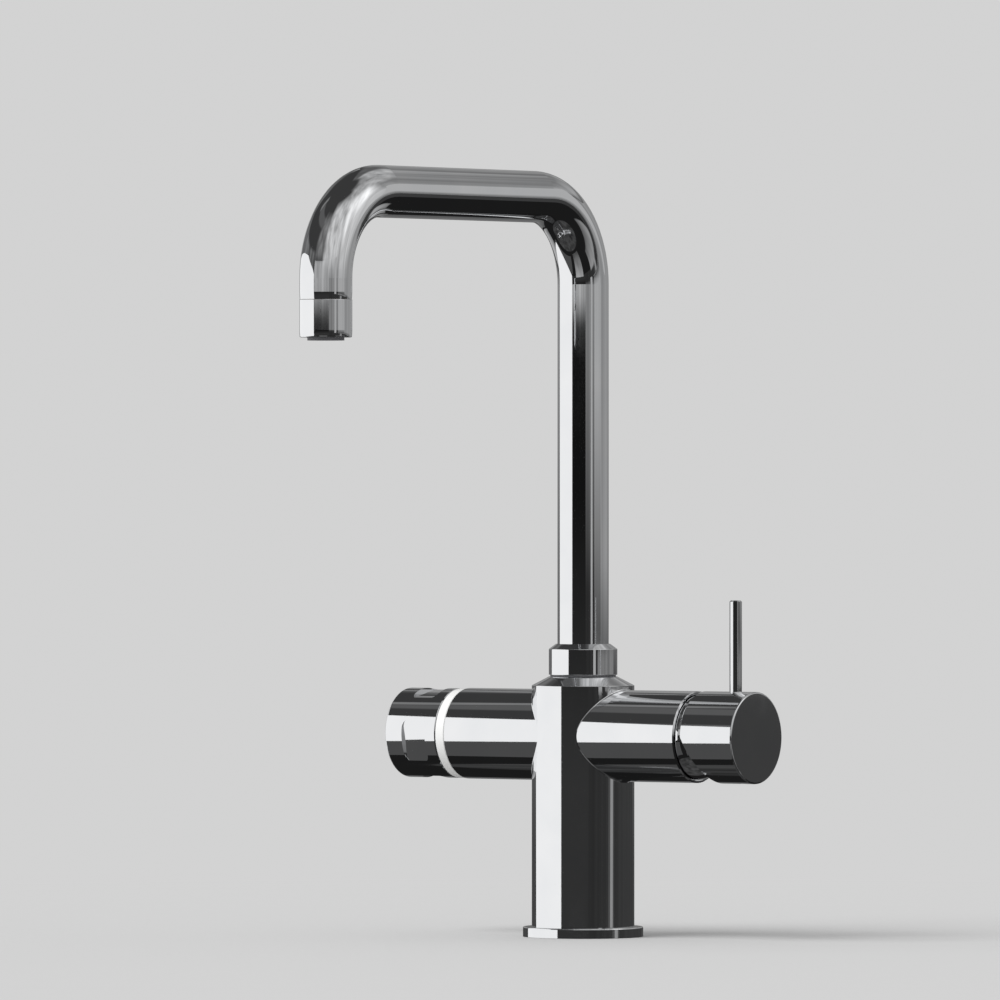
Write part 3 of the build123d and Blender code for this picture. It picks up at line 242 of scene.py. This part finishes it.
def sheet(name, points, faces, low, high, heights, patchy=0.0, fade=None):
    """Piece of the studio that glows from low to high between two heights, clear where its fade is 0."""
    data = bpy.data.meshes.new(name)
    data.from_pydata(points, [], faces)
    made = bpy.data.materials.new(name)
    made.use_nodes = True
    made.cycles.emission_sampling = "NONE"
    tree = made.node_tree
    tree.nodes.clear()
    output = tree.nodes.new("ShaderNodeOutputMaterial")
    glow = tree.nodes.new("ShaderNodeEmission")
    shown = glow.outputs[0]
    if fade:
        data.attributes.new("fade", "FLOAT", "POINT").data.foreach_set("value", fade)
        share = tree.nodes.new("ShaderNodeAttribute")
        share.attribute_name = "fade"
        clear = tree.nodes.new("ShaderNodeBsdfTransparent")
        mixed = tree.nodes.new("ShaderNodeMixShader")
        tree.links.new(share.outputs["Fac"], mixed.inputs["Fac"])
        tree.links.new(clear.outputs[0], mixed.inputs[1])
        tree.links.new(shown, mixed.inputs[2])
        shown = mixed.outputs[0]
    tree.links.new(shown, output.inputs["Surface"])
    place = tree.nodes.new("ShaderNodeTexCoord").outputs["Object"]
    split = tree.nodes.new("ShaderNodeSeparateXYZ")
    tree.links.new(place, split.inputs[0])
    level = spread(tree, split.outputs["Z"], low, high, *heights)
    if patchy:
        streaks = noise(tree, place, streak_scale, detail=3.0, stretch=streak_stretch)
        product = tree.nodes.new("ShaderNodeMath")
        product.operation = "MULTIPLY"
        tree.links.new(level, product.inputs[0])
        tree.links.new(spread(tree, streaks, 1 - patchy, 1 + patchy), product.inputs[1])
        level = product.outputs[0]
    tree.links.new(level, glow.inputs["Strength"])
    data.materials.append(made)
    piece = bpy.data.objects.new(name, data)
    piece.visible_camera = False
    piece.visible_diffuse = False
    piece.visible_shadow = False
    scene.collection.objects.link(piece)


def card(name, turn, rise, low, high=None, heights=(0.0, 1.0), patchy=0.0, layer=1.0, soft=0.0):
    """Part of the studio's round wall between two turns and two rises, both in degrees.

    Turns count from the camera's direction, positive to its right. A card on a smaller layer hangs in front
    of one on a larger layer. With soft, its edges fade over that many degrees.
    """
    radius = room_radius * layer
    turn_step = (turn[1] - turn[0]) / cells_across
    rise_step = (rise[1] - rise[0]) / cells_up
    points = []
    fade = []
    for j in range(cells_up + 1):
        lift = radians(rise[0] + rise_step * j)
        for i in range(cells_across + 1):
            angle = camera_turn + radians(turn[0] + turn_step * i)
            reach = radius * cos(lift)
            points.append((reach * sin(angle), -reach * cos(angle), radius * sin(lift)))
            if soft:
                side_share = min(i, cells_across - i) * turn_step / soft
                level_share = min(j, cells_up - j) * rise_step / soft
                fade.append(min(1.0, side_share) * min(1.0, level_share))
    row = cells_across + 1
    faces = [
        (j * row + i, j * row + i + 1, (j + 1) * row + i + 1, (j + 1) * row + i)
        for j in range(cells_up)
        for i in range(cells_across)
    ]
    sheet(name, points, faces, low, low if high is None else high, heights, patchy, fade)


# Soft box: it makes the white strips on the column, the body and the arms
box_x, box_near, box_middle, box_far = -0.455, -1.65, -0.52, 0.034
box_low, box_high, box_far_high = -0.09, 0.49, 0.365
box_points = [
    (box_x, box_near, box_low),
    (box_x, box_far, box_low),
    (box_x, box_far, box_far_high),
    (box_x, box_middle, box_high),
    (box_x, box_near, box_high),
]
sheet("soft_box", box_points, [(0, 1, 2, 3, 4)], 1.0, 1.0, (0.0, 1.0))

# Dark room behind everything else
all_round = (-180, 180)
card("dark_room", all_round, (-90, 90), 0.034, 0.007, (0.0, 0.2), layer=1.1)
card("low_room", all_round, (-90, -6), 0.012, layer=1.05)
card("dim_ceiling", all_round, (14, 90), 0.045, layer=1.05)

# Low walls: they light the views from above and show little in the photo's view
low_top = -3.2
low_layer = 0.975
low_high_level = -0.2
card("low_left", (-135, -45), (-42, -9), 0.075)
card("low_floor", all_round, (-90, -52), 0.05, patchy=0.6)
card("low_front", (-30, 4), (-46, low_top), 0.08, 0.40, (-1.75, low_high_level), 0.2, low_layer)
card("low_side", (40, 92), (-26, low_top), 0.10, 0.30, (-1.1, low_high_level), 0.2, low_layer, 2.0)
card("low_right", (126, 164), (-20, low_top), 0.14, 0.40, (-0.9, low_high_level), 0.2, low_layer, 2.0)
card("low_back", (194, 270), (-28, low_top), 0.18, 0.50, (-1.22, low_high_level), 0.2, low_layer)
card("low_behind", (167, 191), (-24, low_top), 0.10, 0.22, (-1.06, low_high_level), 0.2, low_layer)

# Walls: they make the grey sides of the column, the collar and the spout's end
wall_rise = (-6, 22)
card("high_wall", (-150, -50), (12, 30), 0.16, patchy=0.6, soft=3.0)
card("front_wall", (-50, 11), (7.2, 22), 0.03, 0.40, (0.333, 0.350), patchy=0.3)
card("near_wall", (11, 52), wall_rise, 0.03, 0.30, (0.14, 0.40), patchy=0.25)
card("side_wall", (52, 86), wall_rise, 0.034, 0.42, (0.08, 0.29), patchy=0.2)
card("far_wall", (86, 146), wall_rise, 0.043, 0.30, (0.066, 0.16), patchy=0.2)
card("back_wall", (146, 231), wall_rise, 0.06, 0.30, (-0.05, 0.35), patchy=0.2, layer=1.01)

# Slim lights: the thin bright strips on the column, the collar and the body
card("slim_light", (34.5, 43), (1.6, 20), 0.43, layer=0.98)
card("collar_light", (50, 124), (1.66, 2.27), 0.20, patchy=0.3, layer=0.97)
card("low_glow", (58, 73), (-10, 1.2), 0.08, layer=0.99)
card("low_light", (63, 70), (-10, 1.2), 0.30, layer=0.98)

# Ceiling: the soft patches in the bends and along the top of the spout and the arms
card("front_ceiling", (-20, 70), (11, 74), 0.60, patchy=0.4, layer=0.99, soft=12.0)
card("front_dim", (-56, 0), (20, 64), 0.17, patchy=0.5, layer=0.995, soft=8.0)
card("side_window", (48, 102), (18, 56), 1.0, patchy=0.3, layer=0.98, soft=13.0)
card("bend_glow", (58, 168), (38, 78), 0.42, patchy=0.4, layer=0.985, soft=10.0)
card("back_glow", (-172, -138), (19, 44), 0.13, patchy=0.5, layer=0.985, soft=6.0)
card("bend_light", (52, 108), (8, 28), 0.62, patchy=0.25, layer=0.985, soft=6.0)
card("bright_patch", (104, 124), (9, 28), 0.47, layer=0.98)
card("grey_ceiling", (54, 188), (21, 80), 0.35, 0.12, (1.2, 1.85), 0.25, layer=0.995, soft=5.0)
card("top_strip", (-109, -40), (47, 58), 0.11, soft=2.0)
card("top_edge", (-119.5, -108), (46, 60), 0.21, layer=0.995, soft=2.0)
card("back_light", (188, 193.5), (31, 41), 0.30)
